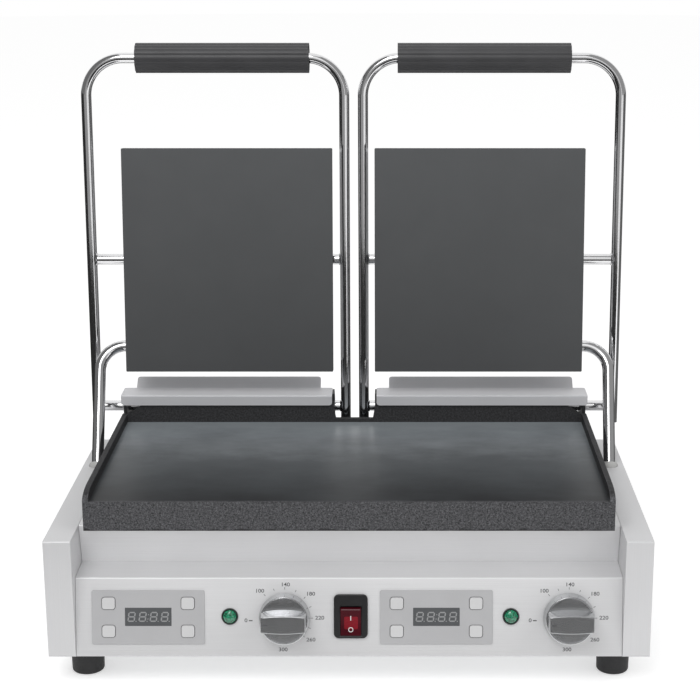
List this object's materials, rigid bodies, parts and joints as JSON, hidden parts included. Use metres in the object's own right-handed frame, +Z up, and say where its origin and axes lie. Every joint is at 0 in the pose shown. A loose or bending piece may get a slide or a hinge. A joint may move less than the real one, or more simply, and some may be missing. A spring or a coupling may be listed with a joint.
{
  "type": "contact grill",
  "caption": "Table-top contact grill with a wide cast lower plate, hinged upper press plates on bent rod lids, timers, rotary heat dials and a rocker switch.",
  "frame": {"origin": "middle of the bounding box in X and Y, on the plane that the feet stand on", "axes": "+X to the right of a person who faces the control panel, +Y from the panel to the rear, +Z up"},
  "size_m": [0.5554, 0.3514, 0.559],
  "materials": {
    "brushed_sheet": "fine horizontal brush, bright",
    "polished_rod": "polished",
    "galvanised_sheet": "galvanised, matt",
    "dark_sheet": "blackened, matt",
    "cast_iron": "dull dark grey enamel, lightly speckled",
    "element_sheath": "heat-dulled",
    "rubber_feet": "matt black",
    "overlay_film": "satin grey film",
    "display_module": "dark display face on a circuit board",
    "key_caps": "satin light grey",
    "green_lens": "clear gloss green, dark rim",
    "silver_knob": "metallised satin silver",
    "grip_plastic": "satin dark grey",
    "spring_steel": "bare spring wire",
    "bush_plastic": "natural white",
    "black_plastic": "satin black",
    "red_rocker": "translucent gloss red"
  },
  "bodies": {
    "base": {"base_pan": "galvanised_sheet", "cord_gland": "black_plastic", "fascia_deck": "brushed_sheet", "foot_front_left": "rubber_feet", "foot_front_right": "rubber_feet", "foot_rear_left": "rubber_feet", "foot_rear_right": "rubber_feet", "left_inner_hinge_bracket": "dark_sheet", "left_lamp": "green_lens", "left_outer_hinge_bracket": "dark_sheet", "left_side_cover": "brushed_sheet", "left_spring_cover": "brushed_sheet", "left_thermostat": "galvanised_sheet", "left_timer_module": "display_module", "left_timer_overlay": "overlay_film", "left_torsion_spring": "spring_steel", "lower_element": "element_sheath", "lower_plate": "cast_iron", "rear_panel": "brushed_sheet", "right_inner_hinge_bracket": "dark_sheet", "right_lamp": "green_lens", "right_outer_hinge_bracket": "dark_sheet", "right_side_cover": "brushed_sheet", "right_spring_cover": "brushed_sheet", "right_thermostat": "galvanised_sheet", "right_timer_module": "display_module", "right_timer_overlay": "overlay_film", "right_torsion_spring": "spring_steel", "switch_housing": "black_plastic"},
    "left_lid": {"left_hinge_rod": "polished_rod", "left_lid_frame": "polished_rod", "left_crossbar": "polished_rod", "left_grip": "grip_plastic"},
    "left_press_head": {"left_upper_plate": "cast_iron", "left_upper_housing": "brushed_sheet", "left_upper_element": "element_sheath"},
    "left_wire_swivel": {"left_conduit_bush": "bush_plastic"},
    "left_wire_tube": {"left_conduit": "polished_rod"},
    "left_dial": {"left_knob": "silver_knob", "left_control_shaft": "polished_rod"},
    "left_timer_key_1": {"left_timer_key_1": "key_caps"},
    "left_timer_key_2": {"left_timer_key_2": "key_caps"},
    "left_timer_key_3": {"left_timer_key_3": "key_caps"},
    "left_timer_key_4": {"left_timer_key_4": "key_caps"},
    "right_lid": {"right_hinge_rod": "polished_rod", "right_lid_frame": "polished_rod", "right_crossbar": "polished_rod", "right_grip": "grip_plastic"},
    "right_press_head": {"right_upper_plate": "cast_iron", "right_upper_housing": "brushed_sheet", "right_upper_element": "element_sheath"},
    "right_wire_swivel": {"right_conduit_bush": "bush_plastic"},
    "right_wire_tube": {"right_conduit": "polished_rod"},
    "right_dial": {"right_knob": "silver_knob", "right_control_shaft": "polished_rod"},
    "right_timer_key_1": {"right_timer_key_1": "key_caps"},
    "right_timer_key_2": {"right_timer_key_2": "key_caps"},
    "right_timer_key_3": {"right_timer_key_3": "key_caps"},
    "right_timer_key_4": {"right_timer_key_4": "key_caps"},
    "rocker": {"switch_rocker": "red_rocker"}
  },
  "joints": [
    {"name": "left_lid_hinge", "type": "hinge", "parent": "base", "child": "left_lid", "pos_m": [-0.1283, 0.14034, 0.1812], "axis": [1, 0, 0], "range_deg": [0, 84], "stiffness_Nm_per_rad": 3, "springref_deg": -28.65, "deforming": ["left_torsion_spring"]},
    {"name": "left_plate_level", "type": "hinge", "parent": "left_lid", "child": "left_press_head", "pos_m": [-0.1283, 0.14896, 0.33786], "axis": [1, 0, 0], "range_deg": [0, 12.1]},
    {"name": "left_bush_swivel", "type": "hinge", "parent": "base", "child": "left_wire_swivel", "pos_m": [-0.2604, 0.05834, 0.1424], "axis": [1, 0, 0], "range_deg": [0, 19.2]},
    {"name": "left_tube_slide", "type": "slide", "parent": "left_wire_swivel", "child": "left_wire_tube", "axis": [-0.03, 0.5459, 0.8373], "range_m": [-0.0714, 0]},
    {"name": "left_dial_turn", "type": "hinge", "parent": "base", "child": "left_dial", "pos_m": [-0.0589, -0.14497, 0.06544], "axis": [0, 0.9816, -0.1908], "range_deg": [0, 270]},
    {"name": "left_key_1_press", "type": "slide", "parent": "base", "child": "left_timer_key_1", "axis": [0, 0.9816, -0.1908], "range_m": [0, 0.0005], "stiffness_N_per_m": 1000, "springref_m": -0.0003},
    {"name": "left_key_2_press", "type": "slide", "parent": "base", "child": "left_timer_key_2", "axis": [0, 0.9816, -0.1908], "range_m": [0, 0.0005], "stiffness_N_per_m": 1000, "springref_m": -0.0003},
    {"name": "left_key_3_press", "type": "slide", "parent": "base", "child": "left_timer_key_3", "axis": [0, 0.9816, -0.1908], "range_m": [0, 0.0005], "stiffness_N_per_m": 1000, "springref_m": -0.0003},
    {"name": "left_key_4_press", "type": "slide", "parent": "base", "child": "left_timer_key_4", "axis": [0, 0.9816, -0.1908], "range_m": [0, 0.0005], "stiffness_N_per_m": 1000, "springref_m": -0.0003},
    {"name": "right_lid_hinge", "type": "hinge", "parent": "base", "child": "right_lid", "pos_m": [0.1283, 0.14034, 0.1812], "axis": [1, 0, 0], "range_deg": [0, 84], "stiffness_Nm_per_rad": 3, "springref_deg": -28.65, "deforming": ["right_torsion_spring"]},
    {"name": "right_plate_level", "type": "hinge", "parent": "right_lid", "child": "right_press_head", "pos_m": [0.1283, 0.14896, 0.33786], "axis": [1, 0, 0], "range_deg": [0, 12.1]},
    {"name": "right_bush_swivel", "type": "hinge", "parent": "base", "child": "right_wire_swivel", "pos_m": [0.2604, 0.05834, 0.1424], "axis": [1, 0, 0], "range_deg": [0, 19.2]},
    {"name": "right_tube_slide", "type": "slide", "parent": "right_wire_swivel", "child": "right_wire_tube", "axis": [0.03, 0.5459, 0.8373], "range_m": [-0.0714, 0]},
    {"name": "right_dial_turn", "type": "hinge", "parent": "base", "child": "right_dial", "pos_m": [0.2008, -0.14497, 0.06544], "axis": [0, 0.9816, -0.1908], "range_deg": [0, 270]},
    {"name": "right_key_1_press", "type": "slide", "parent": "base", "child": "right_timer_key_1", "axis": [0, 0.9816, -0.1908], "range_m": [0, 0.0005], "stiffness_N_per_m": 1000, "springref_m": -0.0003},
    {"name": "right_key_2_press", "type": "slide", "parent": "base", "child": "right_timer_key_2", "axis": [0, 0.9816, -0.1908], "range_m": [0, 0.0005], "stiffness_N_per_m": 1000, "springref_m": -0.0003},
    {"name": "right_key_3_press", "type": "slide", "parent": "base", "child": "right_timer_key_3", "axis": [0, 0.9816, -0.1908], "range_m": [0, 0.0005], "stiffness_N_per_m": 1000, "springref_m": -0.0003},
    {"name": "right_key_4_press", "type": "slide", "parent": "base", "child": "right_timer_key_4", "axis": [0, 0.9816, -0.1908], "range_m": [0, 0.0005], "stiffness_N_per_m": 1000, "springref_m": -0.0003},
    {"name": "rocker_tip", "type": "hinge", "parent": "base", "child": "rocker", "pos_m": [0.0015, -0.14341, 0.06299], "axis": [1, 0, 0], "range_deg": [-14, 0]}
  ],
  "couplings": [
    {"joint": "left_plate_level", "follows": "left_lid_hinge", "ratio": 0.14311},
    {"joint": "left_bush_swivel", "follows": "left_lid_hinge", "ratio": 0.22744},
    {"joint": "left_tube_slide", "follows": "left_lid_hinge", "m_per_rad": -0.048571},
    {"joint": "right_plate_level", "follows": "right_lid_hinge", "ratio": 0.14311},
    {"joint": "right_bush_swivel", "follows": "right_lid_hinge", "ratio": 0.22744},
    {"joint": "right_tube_slide", "follows": "right_lid_hinge", "m_per_rad": -0.048571}
  ]
}
